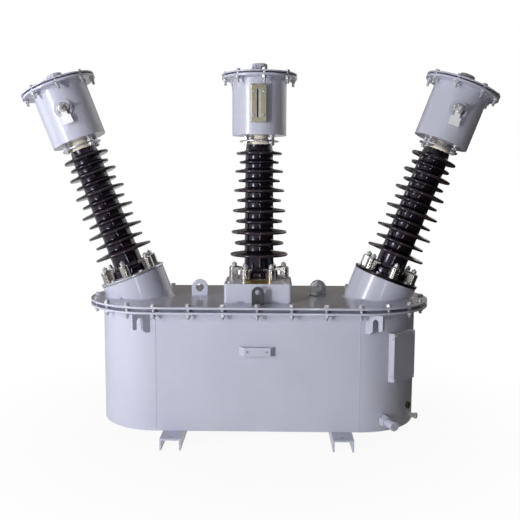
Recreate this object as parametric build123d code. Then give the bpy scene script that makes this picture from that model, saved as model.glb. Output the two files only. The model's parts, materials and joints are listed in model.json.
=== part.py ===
from build123d import *
import math
import os

os.makedirs("parts", exist_ok=True)

# Outdoor oil-immersed instrument transformer: a round-ended oil tank with a bolted cover and three
# porcelain bushings, each with a sheet-metal head. Millimetres, +Z up, front towards -Y.
# The origin is on the ground under the middle of the tank.

# Foot channels
foot_height = 43.0
foot_width = 76.0
foot_wall = 6.0
foot_length = 642.0
foot_spacing = 624.0
foot_hole_r = 7.0
foot_hole_inset = 31.0

# Tank and its bolted joint
half_straight = 375.0
tank_r = 234.0
tank_wall = 5.0
floor_thick = 6.0
tank_height = 454.0
rim_width = 49.0
rim_thick = 8.0
joint_gap = 11.0
cover_thick = 8.0
gasket_reach = 18.0
gasket_lap = 3.0
bolt_line_out = 28.5
straight_bays = 6
end_bays = 8

# Cover bolts, M12
cover_bolt_flats = 18.0
cover_bolt_head = 7.5
cover_nut = 10.0

# Sling hooks under the rim
hook_root_out = 27.0
hook_reach = 70.0
hook_thick = 12.0
hook_inner_drop = 74.0
hook_outer_drop = 58.0
hook_slot_start = 26.0
hook_slot_width = 25.0
hook_slot_top = 16.0

# Lugs on the cover
lug_x = 233.0
lug_width = 63.0
lug_thick = 14.0
lug_hole_r = 15.5
lug_hole_height = 32.0
front_lug_inset = 18.0
front_lug_width = 44.0
front_lug_thick = 12.0
front_lug_height = 66.0
front_lug_hole_r = 9.0
front_lug_hole_height = 46.0

# Bracket on the tank front, for a plate
bracket_width = 96.0
bracket_height = 32.0
bracket_standoff = 21.0
bracket_wing = 21.0
bracket_thick = 3.0
bracket_middle_z = 348.0
bracket_hole_r = 3.5
bracket_hole_spacing = 70.0

# Secondary terminal box on the right-hand end
box_bearing = -47.0
box_standoff = 15.0
box_width = 124.0
box_height = 183.0
box_bottom_z = 229.0
box_wall = 4.0
box_seat_gap = 2.0
box_seat_thick = 3.0
box_window_width = 60.0
box_window_height = 118.0
box_cover_thick = 3.0
box_screw_flats = 8.0
box_screw_head = 3.5
box_screw_inset = 8.0
board_width = 78.0
board_height = 138.0
board_thick = 5.0
board_post_flats = 8.0
board_post = 4.0
board_columns = 2
board_rows = 4
board_pitch_x = 34.0
board_pitch_z = 28.0

# Drain valve, sampling plug and earth stud on the right-hand end
drain_bearing = -66.8
drain_z = 85.0
drain_r = 15.5
drain_length = 72.0
drain_collar_flats = 40.0
drain_collar_start = 4.0
drain_collar = 28.0
drain_plug_r = 17.5
drain_plug_length = 8.0
drain_plug_edge = 1.5
sample_bearing = -33.3
sample_z = 118.0
sample_r = 13.0
sample_length = 9.0
earth_bearing = -23.7
earth_z = 67.0
earth_stud_r = 6.0
earth_length = 28.0
earth_boss_r = 9.5
earth_boss = 19.0
earth_nut = 8.0
earth_nut_flats = 21.0

# Turrets
side_turret_out = 94.0
side_lean = 20.8
side_turret_r = 125.0
side_turret_rise = 80.0
turret_wall = 5.0
turret_ring_width = 24.0
turret_ring_thick = 10.0
turret_gasket = 3.0
side_plate_r = 127.0
side_plate_thick = 8.0
plate_bore_r = 34.0
centre_half_width = 126.0
centre_front_y = -185.0
centre_rise = 72.0
centre_edge_r = 12.0
centre_rim = 7.0
centre_ledge_width = 22.0
centre_ledge_thick = 8.0
centre_plate_thick = 6.0
centre_plate_gap = 0.3
plate_bolt_flats = 13.0
plate_bolt_head = 5.5
plate_bolt_circle_r = 113.0
front_bolt_x = 106.0
front_bolt_inset = 24.0
back_bolt_count = 3
back_bolt_spacing = 60.0
back_bolt_inset = 20.0

# Porcelain bushings, measured up the bushing axis from the turret plate
base_gasket = 2.0
base_flange_r = 74.0
base_flange_top = 25.0
foot_seat_r = 68.0
foot_seat = 31.0
shoulder_r = 63.0
shoulder_top = 46.0
core_low_r = 57.5
core_high_r = 53.0
neck_r = 50.0
porcelain_top = 518.0
bore_r = 16.2
shed_count = 11
lowest_shed_height = 93.0
lowest_shed_pitch = 44.2
pitch_step = 1.14
big_shed_top_r = 88.0
small_shed_top_r = 76.0
shed_r_step = 4.9
shed_top_slope = 0.3
shed_under_slope = 0.05
shed_rim = 8.0

# Base clamps
clamp_count = 6
clamp_outer_r = 117.0
clamp_leg = 34.0
clamp_inner_r = 64.0
clamp_width = 34.0
clamp_arm = 15.0
clamp_tip = 10.0
clamp_slope_r = 86.0
clamp_corner = 8.0
clamp_stud_circle_r = 97.0
clamp_nut = 11.0
clamp_nut_flats = 17.0
clamp_clocking = {"left": 30.0, "centre": 0.0, "right": -27.0}

# Top clamp ring and neck
top_gasket = 10.0
top_gasket_r = 49.0
top_ring_thick = 5.0
top_ring_r = 76.0
head_neck = 19.0
head_neck_r = 35.0
neck_flare_r = 44.0
neck_flare = 6.0
ring_stud_count = 4
ring_stud_circle_r = 68.0
ring_stud_r = 6.0
ring_nut = 9.0
ring_nut_flats = 19.0

# Heads
can_r = 104.0
can_wall = 4.0
can_floor = 5.0
can_height = 220.0
can_rim_thick = 8.0
lid_r = 144.0
lid_gasket = 6.0
lid_gasket_r = 122.0
lid_thick = 5.0
lid_bolt_count = 8
lid_bolt_circle_r = 131.0
lid_bolt_flats = 16.0
lid_bolt_head = 6.5
lid_nut = 8.0
filler_neck_r = 23.0
filler_neck = 36.0
cap_r = 30.5
cap_start = 12.0
cap_top = 5.0
lid_clocking = {"left": 13.0, "centre": 9.0, "right": 22.5}

# Oil gauge on the middle head
gauge_width = 60.0
gauge_height = 139.0
gauge_start = 43.0
gauge_standoff = 14.0
gauge_slot_width = 13.0
gauge_slot_height = 108.0
gauge_slot_depth = 9.0
gauge_edge = 3.0
glass_thick = 4.0
gauge_screw_x = 18.0
gauge_screw_rise = 43.5
gauge_screw_r = 5.0
gauge_screw_head = 3.0

# Primary terminals
terminal_rise = 119.0
pad_r = 34.0
pad_rise = 3.0
bush_r = 24.0
bush_foot = 6.0
bush_neck_r = 17.0
bush_length = 12.0
terminal_r = 7.0
terminal_inside = 30.0
terminal_outside = 58.0
terminal_nut = 10.0
terminal_nut_flats = 24.0
tag_thick = 1.5
tag_width = 40.0
tag_height = 32.0
tag_drop = 60.0
tag_stem_width = 22.0
tag_rise = 16.0
terminal_swing = {"left": 6.0, "centre": 0.0, "right": -2.0}

# Inside the tank
lead_r = 16.0
lead_inside_head = 40.0
centre_lead_tail = 70.0
ct_ring_drop = 170.0
ct_ring_outer_r = 84.0
ct_ring_inner_r = 48.0
ct_ring_width = 36.0
ct_core_outer_r = 86.0
ct_core_inner_r = 42.0
ct_core_width = 40.0
ct_stand_thick = 10.0
ct_stand_width = 110.0
vt_x = 150.0
vt_core_width = 180.0
vt_core_height = 230.0
vt_limb = 45.0
vt_coil_build = 34.0
vt_coil_gap = 1.0
vt_stand_height = 60.0
vt_stand_thick = 10.0
vt_stand_length = 120.0

# Heights and places worked out from the sizes above
rim_r = tank_r + rim_width
gasket_outer_r = tank_r + gasket_reach
gasket_inner_r = tank_r - gasket_lap
bolt_line_r = tank_r + bolt_line_out
hook_root_x = half_straight + hook_root_out
side_turret_x = half_straight + side_turret_out
front_lug_y = front_lug_inset - tank_r
box_face_distance = tank_r + box_standoff
box_seat_distance = tank_r + box_seat_gap
tank_bottom_z = foot_height
rim_top_z = tank_bottom_z + tank_height
rim_bottom_z = rim_top_z - rim_thick
cover_bottom_z = rim_top_z + joint_gap
cover_top_z = cover_bottom_z + cover_thick
floor_top_z = tank_bottom_z + floor_thick
side_plate_height = side_turret_rise + turret_gasket + side_plate_thick
can_bottom = porcelain_top + top_gasket + top_ring_thick + head_neck
can_top = can_bottom + can_height
lid_bottom = can_top + lid_gasket
lid_top = lid_bottom + lid_thick
clamp_top = foot_seat + clamp_arm
ring_bottom = porcelain_top + top_gasket
ring_top = ring_bottom + top_ring_thick
far = 3000.0
UP = (Align.CENTER, Align.CENTER, Align.MIN)

turret_frames = {
    "left": Location((-side_turret_x, 0, cover_top_z), (0, -side_lean, 0)),
    "centre": Location((0, 0, cover_top_z)),
    "right": Location((side_turret_x, 0, cover_top_z), (0, side_lean, 0)),
}
bushing_frames = {
    "left": turret_frames["left"] * Pos(0, 0, side_plate_height),
    "centre": turret_frames["centre"] * Pos(0, 0, centre_rise),
    "right": turret_frames["right"] * Pos(0, 0, side_plate_height),
}


def post(radius, low, high):
    """Upright cylinder between two heights."""
    return Pos(0, 0, low) * Cylinder(radius, high - low, align=UP)


def ring(outer, inner, low, high):
    """Upright washer or tube between two heights."""
    return post(outer, low, high) - post(inner, low, high)


def hexagon(flats, low, high):
    """Upright hexagonal bar between two heights."""
    return extrude(Pos(0, 0, low) * RegularPolygon(flats / 2, 6, major_radius=False), high - low)


def nut(flats, radius, low, high):
    """Hexagonal nut on a stud of the given radius."""
    return hexagon(flats, low, high) - post(radius, low, high)


def block(x0, x1, y0, y1, z0, z1):
    """Box between two corners."""
    return Pos(x0, y0, z0) * Box(x1 - x0, y1 - y0, z1 - z0, align=(Align.MIN, Align.MIN, Align.MIN))


def stadium(radius, low, high):
    """Upright prism with straight front and back and half-round ends."""
    outline = SlotCenterToCenter(2 * half_straight, 2 * radius)
    return extrude(Pos(0, 0, low) * outline, high - low)


def on_circle(count, radius, start=0.0):
    """Places evenly spaced on a circle, each turned to face outwards."""
    turns = [start + 360.0 * i / count for i in range(count)]
    return [Rot(0, 0, turn) * Pos(radius, 0, 0) for turn in turns]


def out_of_tank(bearing, height):
    """Frame on the right-hand end of the tank: its +Z points straight out of the wall."""
    return Location((half_straight, 0, height)) * Rot(0, 0, bearing) * Rot(0, 90, 0)


def save(name, *pieces):
    """Write one node, as one solid or as a group of separate solids."""
    solids = [solid for piece in pieces for solid in piece.solids()]
    export_step(solids[0] if len(solids) == 1 else Compound(children=solids), f"parts/{name}.step")


def per_bushing(make):
    """The same piece on all three bushings."""
    return [frame * make() for frame in bushing_frames.values()]


# Tank, rim, gasket and cover

def cover_bolt_places():
    """Bolts along both straight sides and round both ends, at one distance from the middle line."""
    pitch = 2 * half_straight / straight_bays
    places = []
    for side in (-1, 1):
        for i in range(straight_bays + 1):
            places.append((-half_straight + i * pitch, side * bolt_line_r))
        for i in range(1, end_bays):
            turn = math.pi * i / end_bays
            places.append((side * (half_straight + bolt_line_r * math.sin(turn)), -bolt_line_r * math.cos(turn)))
    return places


def make_tank_body():
    inside = stadium(tank_r - tank_wall, floor_top_z, rim_top_z)
    window = out_of_tank(box_bearing, box_middle_z()) * Box(box_window_height, box_window_width, 2 * tank_r)
    outer_half = block(half_straight, far, -far, 0, 0, rim_top_z)
    return stadium(tank_r, tank_bottom_z, rim_top_z) - inside - (window & outer_half)


def make_tank_rim():
    return stadium(rim_r, rim_bottom_z, rim_top_z) - stadium(tank_r, rim_bottom_z, rim_top_z)


def make_tank_gasket():
    outer = stadium(gasket_outer_r, rim_top_z, cover_bottom_z)
    return outer - stadium(gasket_inner_r, rim_top_z, cover_bottom_z)


def make_cover():
    plate = stadium(rim_r, cover_bottom_z, cover_top_z)
    opening_r = side_turret_r - turret_wall
    for side in ("left", "right"):
        plate -= turret_frames[side] * post(opening_r, -2 * opening_r, 2 * opening_r)
    return plate - extrude(Pos(0, 0, cover_bottom_z) * centre_outline(centre_rim), cover_thick)


def cover_bolts():
    head = hexagon(cover_bolt_flats, cover_top_z, cover_top_z + cover_bolt_head)
    return [Pos(x, y, 0) * head for x, y in cover_bolt_places()]


def cover_nuts():
    below = hexagon(cover_bolt_flats, rim_bottom_z - cover_nut, rim_bottom_z)
    return [Pos(x, y, 0) * below for x, y in cover_bolt_places()]


# Hooks, feet, lugs and bracket

def make_hook(side_x, side_y):
    """Sling hook: an upright plate with an open slot, set across the corner of the tank."""
    outline = Polyline(
        (-tank_wall * 3, 0),
        (hook_reach, 0),
        (hook_reach, -hook_outer_drop + hook_slot_width / 4),
        (hook_reach - hook_slot_width / 4, -hook_outer_drop),
        (hook_slot_start + hook_slot_width, -hook_outer_drop),
        (hook_slot_start + hook_slot_width, -hook_slot_top - hook_slot_width / 2),
    )
    slot_middle = hook_slot_start + hook_slot_width / 2
    arch = ThreePointArc(
        (hook_slot_start + hook_slot_width, -hook_slot_top - hook_slot_width / 2),
        (slot_middle, -hook_slot_top),
        (hook_slot_start, -hook_slot_top - hook_slot_width / 2),
    )
    inner = Polyline(
        (hook_slot_start, -hook_slot_top - hook_slot_width / 2),
        (hook_slot_start, -hook_inner_drop + hook_slot_width / 2),
        (hook_slot_start / 2, -hook_inner_drop),
        (-tank_wall * 3, -hook_inner_drop),
        (-tank_wall * 3, 0),
    )
    upright = Plane.XZ * make_face(Curve() + [outline, arch, inner])
    plate = extrude(upright, hook_thick / 2, both=True)
    turn = math.degrees(math.atan2(side_y, side_x))
    placed = Pos(side_x * hook_root_x, side_y * tank_r, rim_bottom_z) * Rot(0, 0, turn) * plate
    return placed - stadium(tank_r, tank_bottom_z, rim_top_z)


def hooks():
    return [make_hook(side_x, side_y) for side_x in (-1, 1) for side_y in (-1, 1)]


def make_foot(side):
    """Channel with its web up, running from front to back under the tank."""
    half = foot_width / 2
    channel = block(-half, half, -foot_length / 2, foot_length / 2, 0, foot_height)
    channel -= block(foot_wall - half, half - foot_wall, -far, far, 0, foot_height - foot_wall)
    for end in (-1, 1):
        hole_y = end * (foot_length / 2 - foot_hole_inset)
        channel -= Pos(0, hole_y, 0) * post(foot_hole_r, 0, foot_height)
    return Pos(side * foot_spacing / 2, 0, 0) * channel


def make_round_lug(width, height, thick, hole_r, hole_height):
    """Upright plate with a half-round top and a round hole, standing across the Y direction."""
    half = width / 2
    sides = Polyline((-half, height - half), (-half, 0), (half, 0), (half, height - half))
    top = ThreePointArc((half, height - half), (0, height), (-half, height - half))
    plate = extrude(Plane.XZ * make_face(Curve() + [sides, top]), thick / 2, both=True)
    hole = Pos(0, 0, hole_height) * Rot(90, 0, 0) * Cylinder(hole_r, 2 * thick)
    return plate - hole


def cover_lugs():
    height = lug_hole_height + lug_width / 2
    one = make_round_lug(lug_width, height, lug_thick, lug_hole_r, lug_hole_height)
    return [Pos(side * lug_x, 0, cover_top_z) * one for side in (-1, 1)]


def make_front_lug():
    plate = make_round_lug(
        front_lug_width, front_lug_height, front_lug_thick, front_lug_hole_r, front_lug_hole_height
    )
    return Pos(0, front_lug_y, cover_top_z) * plate


def make_bracket():
    """Hat-shaped strip: a flat middle held off the tank by two flared wings."""
    wall_y = -tank_r
    face_y = wall_y - bracket_standoff
    half = bracket_width / 2
    line = Polyline(
        (-half - bracket_wing, wall_y + bracket_thick),
        (-half, face_y),
        (half, face_y),
        (half + bracket_wing, wall_y + bracket_thick),
    )
    strip = extrude(make_face(Curve() + offset_strip(line, bracket_thick)), bracket_height)
    strip = Pos(0, 0, bracket_middle_z - bracket_height / 2) * strip
    for side in (-1, 1):
        hole = Pos(side * bracket_hole_spacing / 2, face_y, bracket_middle_z) * Rot(90, 0, 0)
        strip -= hole * Cylinder(bracket_hole_r, 4 * bracket_thick)
    return strip - stadium(tank_r, tank_bottom_z, rim_top_z)


def offset_strip(line, thick):
    """Closed outline of a strip that follows a bent line."""
    inner = offset(line, thick, side=Side.LEFT, kind=Kind.INTERSECTION, closed=True)
    return inner.edges()


# Terminal box, drain valve, sampling plug and earth stud

def box_middle_z():
    return box_bottom_z + box_height / 2


def box_frame(distance):
    """Frame on the box's own axis: +Z out of the box, +X down, at a distance from the end's centre."""
    return out_of_tank(box_bearing, box_middle_z()) * Pos(0, 0, distance)


def upright_box(height, width, low, high):
    """Box across the terminal box's axis, between two distances."""
    return Pos(0, 0, low) * Box(height, width, high - low, align=UP)


def box_screw_places():
    rise = box_height / 2 - box_screw_inset
    reach = box_width / 2 - box_screw_inset
    return [(x, y) for x in (-rise, rise) for y in (-reach, reach)]


def make_box_body():
    """Welded frame with a seat plate inside for the terminal board."""
    inner_height = box_height - 2 * box_wall
    inner_width = box_width - 2 * box_wall
    start = tank_r / 2
    frame = upright_box(box_height, box_width, start, box_face_distance)
    frame -= upright_box(inner_height, inner_width, start, box_face_distance)
    seat_top = box_seat_distance + box_seat_thick
    seat = upright_box(inner_height, inner_width, box_seat_distance, seat_top)
    seat -= upright_box(box_window_height, box_window_width, box_seat_distance, seat_top)
    return box_frame(0) * (frame + seat) - stadium(tank_r, tank_bottom_z, rim_top_z)


def make_box_cover():
    return box_frame(0) * upright_box(box_height, box_width, box_face_distance, box_cover_top())


def box_cover_top():
    return box_face_distance + box_cover_thick


def box_screws():
    head = hexagon(box_screw_flats, box_cover_top(), box_cover_top() + box_screw_head)
    return [box_frame(0) * Pos(x, y, 0) * head for x, y in box_screw_places()]


def board_low():
    return box_seat_distance + box_seat_thick


def make_board():
    return box_frame(0) * upright_box(board_height, board_width, board_low(), board_low() + board_thick)


def board_posts():
    """Brass terminal posts in rows on the board."""
    low = board_low() + board_thick
    xs = [(i - (board_rows - 1) / 2) * board_pitch_z for i in range(board_rows)]
    ys = [(i - (board_columns - 1) / 2) * board_pitch_x for i in range(board_columns)]
    post_piece = hexagon(board_post_flats, low, low + board_post)
    return [box_frame(0) * Pos(x, y, 0) * post_piece for x in xs for y in ys]


def make_drain_body():
    """Barrel with a hexagonal union close to the tank wall."""
    collar_low = tank_r + drain_collar_start
    body = post(drain_r, tank_r / 2, tank_r + drain_length)
    body += hexagon(drain_collar_flats, collar_low, collar_low + drain_collar)
    return out_of_tank(drain_bearing, drain_z) * body - stadium(tank_r, tank_bottom_z, rim_top_z)


def make_drain_plug():
    low = tank_r + drain_length
    plug = post(drain_plug_r, low, low + drain_plug_length)
    return out_of_tank(drain_bearing, drain_z) * chamfer(plug.faces().sort_by(Axis.Z)[-1].edges(), drain_plug_edge)


def make_sample_plug():
    plug = post(sample_r, tank_r / 2, tank_r + sample_length)
    return out_of_tank(sample_bearing, sample_z) * plug - stadium(tank_r, tank_bottom_z, rim_top_z)


def make_earth_stud():
    """Boss welded to the tank, with its stud."""
    boss_top = tank_r + earth_boss
    stud = post(earth_boss_r, tank_r / 2, boss_top) + post(earth_stud_r, boss_top, tank_r + earth_length)
    return out_of_tank(earth_bearing, earth_z) * stud - stadium(tank_r, tank_bottom_z, rim_top_z)


def make_earth_nut():
    boss_top = tank_r + earth_boss
    return out_of_tank(earth_bearing, earth_z) * nut(earth_nut_flats, earth_stud_r, boss_top, boss_top + earth_nut)


# Turrets

def centre_outline(inset=0.0):
    """Plan of the middle turret: square in front, half-round behind."""
    half = centre_half_width - inset
    front = -half - centre_front_y - inset + half
    outline = Pos(0, -front / 2) * Rectangle(2 * half, front) + Circle(half)
    corners = outline.vertices().group_by(Axis.Y)[0]
    return fillet(corners, max(centre_edge_r - inset, 2))


def make_centre_turret():
    """Welded box whose top rim frames the plate, which rests on a ledge."""
    top = cover_top_z + centre_rise
    ledge_top = top - centre_plate_thick
    body = extrude(Pos(0, 0, cover_top_z) * centre_outline(), centre_rise)
    body -= extrude(Pos(0, 0, cover_top_z) * centre_outline(centre_rim + centre_ledge_width), centre_rise)
    body -= extrude(Pos(0, 0, ledge_top) * centre_outline(centre_rim), centre_plate_thick)
    cavity = centre_rise - centre_plate_thick - centre_ledge_thick
    return body - extrude(Pos(0, 0, cover_top_z) * centre_outline(centre_rim), cavity)


def centre_bolts_at():
    """Two bolts in the front corners and three round the back of the middle plate."""
    front_y = centre_front_y + front_bolt_inset
    front = [Pos(side * front_bolt_x, front_y, 0) for side in (-1, 1)]
    back = []
    for i in range(back_bolt_count):
        turn = 90 + (i - (back_bolt_count - 1) / 2) * back_bolt_spacing
        back.append(Rot(0, 0, turn) * Pos(centre_half_width - back_bolt_inset, 0, 0))
    return front + back


def make_centre_plate():
    low = cover_top_z + centre_rise - centre_plate_thick
    plate = extrude(Pos(0, 0, low) * centre_outline(centre_rim + centre_plate_gap), centre_plate_thick)
    return plate - post(plate_bore_r, low, low + centre_plate_thick)


def make_side_turret(side):
    """Leaning tube, cut level where it is welded to the cover, with a ring inside its top."""
    inner_r = side_turret_r - turret_wall
    tube = ring(side_turret_r, inner_r, -side_turret_r, side_turret_rise)
    ledge_low = side_turret_rise - turret_ring_thick
    tube += ring(inner_r, side_turret_r - turret_ring_width, ledge_low, side_turret_rise)
    below = block(-far, far, -far, far, -far, cover_top_z)
    return turret_frames[side] * tube - below


def make_side_plate(side):
    low = side_turret_rise + turret_gasket
    return turret_frames[side] * ring(side_plate_r, plate_bore_r, low, low + side_plate_thick)


def make_turret_gasket(side):
    low = side_turret_rise
    gasket = ring(side_turret_r, side_turret_r - turret_ring_width, low, low + turret_gasket)
    return turret_frames[side] * gasket


def turret_bolts():
    """Heads of the bolts that hold the three turret plates down, midway between the clamps on the sides."""
    head = hexagon(plate_bolt_flats, 0, plate_bolt_head)
    bolts = []
    for side in ("left", "right"):
        first = clamp_clocking[side] + 180.0 / clamp_count
        around = on_circle(clamp_count, plate_bolt_circle_r, first)
        bolts += [bushing_frames[side] * place * head for place in around]
    return bolts + [bushing_frames["centre"] * place * head for place in centre_bolts_at()]


# Bushings

def core_r(height):
    """Radius of the porcelain core, which narrows evenly up to the neck."""
    share = (height - base_flange_top) / (porcelain_top - base_flange_top)
    return core_low_r + (core_high_r - core_low_r) * share


def shed_tips():
    """Height and radius of each shed from the lowest up: pitch and radius shrink, big and small in turn."""
    tips = []
    height = lowest_shed_height
    pitch = lowest_shed_pitch
    for i in range(shed_count):
        pair = (shed_count - 1 - i) // 2
        top_r = big_shed_top_r if i % 2 == 0 else small_shed_top_r
        tips.append((height, top_r + pair * shed_r_step))
        height += pitch
        pitch -= pitch_step
    return tips


def make_porcelain():
    """Hollow porcelain body: a foot for the clamps, graded sheds and a plain neck."""
    points = [(bore_r, base_gasket), (base_flange_r, base_gasket), (base_flange_r, base_flange_top)]
    points += [(foot_seat_r, foot_seat), (shoulder_r, foot_seat), (core_r(shoulder_top), shoulder_top)]
    for height, tip_r in shed_tips():
        reach = tip_r - core_r(height)
        rim_under = height - shed_rim / 2
        rim_over = height + shed_rim / 2
        under = rim_under - reach * shed_under_slope
        over = rim_over + reach * shed_top_slope
        points += [(core_r(under), under), (tip_r, rim_under), (tip_r, rim_over), (core_r(over), over)]
    points += [(neck_r, porcelain_top), (bore_r, porcelain_top)]
    section = make_face(Polyline(*[(r, 0, z) for r, z in points], close=True))
    return revolve(section, Axis.Z)


def make_base_gasket():
    return ring(base_flange_r - 1, plate_bore_r, 0, base_gasket)


def make_clamp():
    """Cast claw: it stands on the plate and its sloping arm presses on the porcelain's foot."""
    leg_r = clamp_outer_r - clamp_leg
    points = [(leg_r, 0), (clamp_outer_r, 0), (clamp_outer_r, clamp_top - clamp_corner)]
    points += [(clamp_outer_r - clamp_corner, clamp_top), (clamp_slope_r, clamp_top)]
    points += [(clamp_inner_r, foot_seat + clamp_tip), (clamp_inner_r, foot_seat), (leg_r, foot_seat)]
    side = make_face(Polyline(*[(r, 0, z) for r, z in points], close=True))
    claw = extrude(side, clamp_width / 2, dir=(0, 1, 0), both=True)
    outer_corners = claw.edges().filter_by(Axis.Z).group_by(Axis.X)[-1]
    return fillet(outer_corners, clamp_corner)


def at_clamps(piece, radius):
    """The same piece at each clamp of the three bushings."""
    return [
        frame * place * piece
        for side, frame in bushing_frames.items()
        for place in on_circle(clamp_count, radius, clamp_clocking[side])
    ]


def clamps():
    return at_clamps(make_clamp(), 0)


def clamp_nuts():
    """Nuts that pull the claws down."""
    one = hexagon(clamp_nut_flats, clamp_top, clamp_top + clamp_nut)
    return at_clamps(one, clamp_stud_circle_r)


def make_top_gasket():
    return ring(top_gasket_r, bore_r, porcelain_top, ring_bottom)


def make_top_ring():
    return ring(top_ring_r, bore_r, ring_bottom, ring_top)


def at_ring_studs(piece):
    """The same piece at each stud of the three clamp rings."""
    places = on_circle(ring_stud_count, ring_stud_circle_r, 180.0 / ring_stud_count)
    return [frame * place * piece for frame in bushing_frames.values() for place in places]


def ring_studs():
    """Studs between the clamp rings and the floors of the heads."""
    return at_ring_studs(post(ring_stud_r, ring_top, can_bottom))


def ring_nuts():
    return at_ring_studs(hexagon(ring_nut_flats, ring_bottom - ring_nut, ring_bottom))


def make_head_neck():
    """Short neck that flares where it stands on the clamp ring."""
    flare = Pos(0, 0, ring_top) * Cone(neck_flare_r, head_neck_r, neck_flare, align=UP)
    return flare + post(head_neck_r, ring_top, can_bottom) - post(bore_r, ring_top, can_bottom)


# Heads

def terminal_sides(side):
    """Where a head has terminals: front and back on the side heads, back only under the gauge."""
    fronts = () if side == "centre" else (-1,)
    return fronts + (1,)


def terminal_frame(side, facing):
    """Frame on the head's axis at terminal height: +Z points out through the can wall."""
    turn = terminal_swing[side]
    return Pos(0, 0, can_bottom + terminal_rise) * Rot(0, 0, turn) * Rot(-90 * facing, 0, 0)


def make_can(side):
    """Rolled can with a floor, and flat pads with holes for its terminals."""
    outside = can_r + pad_rise
    can = post(can_r, can_bottom, can_top)
    for facing in terminal_sides(side):
        can += terminal_frame(side, facing) * post(pad_r, 0, outside)
    can -= post(can_r - can_wall, can_bottom + can_floor, can_top)
    can -= post(bore_r, can_bottom, can_bottom + can_floor)
    for facing in terminal_sides(side):
        can -= terminal_frame(side, facing) * post(terminal_r, 0, outside)
    return bushing_frames[side] * can


def make_head_rim():
    """Flat ring welded round the top of the can, for the lid bolts."""
    return ring(lid_r, can_r, can_top - can_rim_thick, can_top)


def make_lid():
    """Flat lid with the filler neck welded in its middle."""
    return post(lid_r, lid_bottom, lid_top) + post(filler_neck_r, lid_top, lid_top + filler_neck)


def make_lid_gasket():
    return ring(lid_gasket_r, can_r - can_wall, can_top, lid_bottom)


def at_lid_bolts(piece):
    """The same piece at each bolt of the three lids."""
    return [
        frame * place * piece
        for side, frame in bushing_frames.items()
        for place in on_circle(lid_bolt_count, lid_bolt_circle_r, lid_clocking[side])
    ]


def lid_bolts():
    return at_lid_bolts(hexagon(lid_bolt_flats, lid_top, lid_top + lid_bolt_head))


def lid_nuts():
    under = can_top - can_rim_thick
    return at_lid_bolts(hexagon(lid_bolt_flats, under - lid_nut, under))


def make_cap():
    """Screw cap over the filler neck."""
    neck_top = lid_top + filler_neck
    return post(cap_r, lid_top + cap_start, neck_top + cap_top) - post(filler_neck_r, lid_top, neck_top)


def gauge_face_y():
    return -can_r - gauge_standoff


def gauge_middle():
    return can_bottom + gauge_start + gauge_height / 2


def make_gauge_frame():
    """Deep frame fitted to the can, with a long round-ended slot."""
    half = gauge_width / 2
    low = gauge_middle() - gauge_height / 2
    body = block(-half, half, gauge_face_y(), 0, low, low + gauge_height)
    front = body.faces().sort_by(Axis.Y)[0]
    body = chamfer(front.edges(), gauge_edge)
    body -= post(can_r, low, low + gauge_height)
    return bushing_frames["centre"] * (body - slot_bar(gauge_slot_depth))


def slot_bar(depth, start=0.0):
    """Round-ended bar that fills the gauge slot between two depths."""
    outline = Rot(0, 0, 90) * SlotOverall(gauge_slot_height, gauge_slot_width)
    bar = extrude(outline, depth)
    return Pos(0, gauge_face_y() + start, gauge_middle()) * Rot(-90, 0, 0) * bar


def make_gauge_glass():
    return bushing_frames["centre"] * slot_bar(glass_thick, gauge_slot_depth - glass_thick)


def gauge_screws():
    """Four screw heads at the corners of the gauge frame."""
    screws = []
    for x in (-gauge_screw_x, gauge_screw_x):
        for rise in (-gauge_screw_rise, gauge_screw_rise):
            place = Pos(x, gauge_face_y(), gauge_middle() + rise) * Rot(90, 0, 0)
            screws.append(bushing_frames["centre"] * place * post(gauge_screw_r, 0, gauge_screw_head))
    return screws


def at_terminals(make):
    """The same piece at each primary terminal."""
    return [
        bushing_frames[side] * terminal_frame(side, facing) * make()
        for side in bushing_frames
        for facing in terminal_sides(side)
    ]


def terminal_seat():
    """Distance from the head's axis to the face of the bush."""
    return can_r + pad_rise + bush_length


def make_bush():
    """Stepped insulating bush on the pad, round the stud."""
    low = can_r + pad_rise
    bush = post(bush_r, low, low + bush_foot) + post(bush_neck_r, low, low + bush_length)
    return bush - post(terminal_r, low, low + bush_length)


def make_terminal_stud():
    return post(terminal_r, can_r - terminal_inside, can_r + terminal_outside)


def make_tag():
    """Small blank plate that hangs from the nut by a narrow stem."""
    low = terminal_seat()
    high = low + tag_thick
    half = tag_width / 2
    plate = block(-half, half, -tag_drop, tag_height - tag_drop, low, high)
    half_stem = tag_stem_width / 2
    stem = block(-half_stem, half_stem, tag_height - tag_drop, tag_rise, low, high)
    return plate + stem - post(terminal_r, low, high)


def make_terminal_nut():
    low = terminal_seat() + tag_thick
    return nut(terminal_nut_flats, terminal_r, low, low + terminal_nut)


def tags():
    """Plates only where the front terminals show them."""
    return [bushing_frames[side] * terminal_frame(side, -1) * make_tag() for side in ("left", "right")]


# Inside the tank

def ct_centre(side):
    """Middle of a current transformer's primary ring, on the leaning bushing axis."""
    sign = -1 if side == "left" else 1
    lean = math.radians(side_lean)
    x = sign * (side_turret_x - ct_ring_drop * math.sin(lean))
    return x, cover_top_z - ct_ring_drop * math.cos(lean)


def make_ct_ring(side):
    """Paper-covered primary ring, hanging in the plane of the bushings."""
    x, z = ct_centre(side)
    band = ring(ct_ring_outer_r, ct_ring_inner_r, -ct_ring_width / 2, ct_ring_width / 2)
    return Pos(x, 0, z) * Rot(90, 0, 0) * band


def make_ct_core(side):
    """Secondary ring core, linked through the primary ring at right angles."""
    core = ring(ct_core_outer_r, ct_core_inner_r, -ct_core_width / 2, ct_core_width / 2)
    x, z = ct_core_centre(side)
    return Pos(x, 0, z) * Rot(0, 90, 0) * core


def ct_core_centre(side):
    """The core's middle lies in the lowest part of the primary ring's band."""
    x, z = ct_centre(side)
    return x, z - (ct_ring_outer_r + ct_ring_inner_r) / 2


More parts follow.
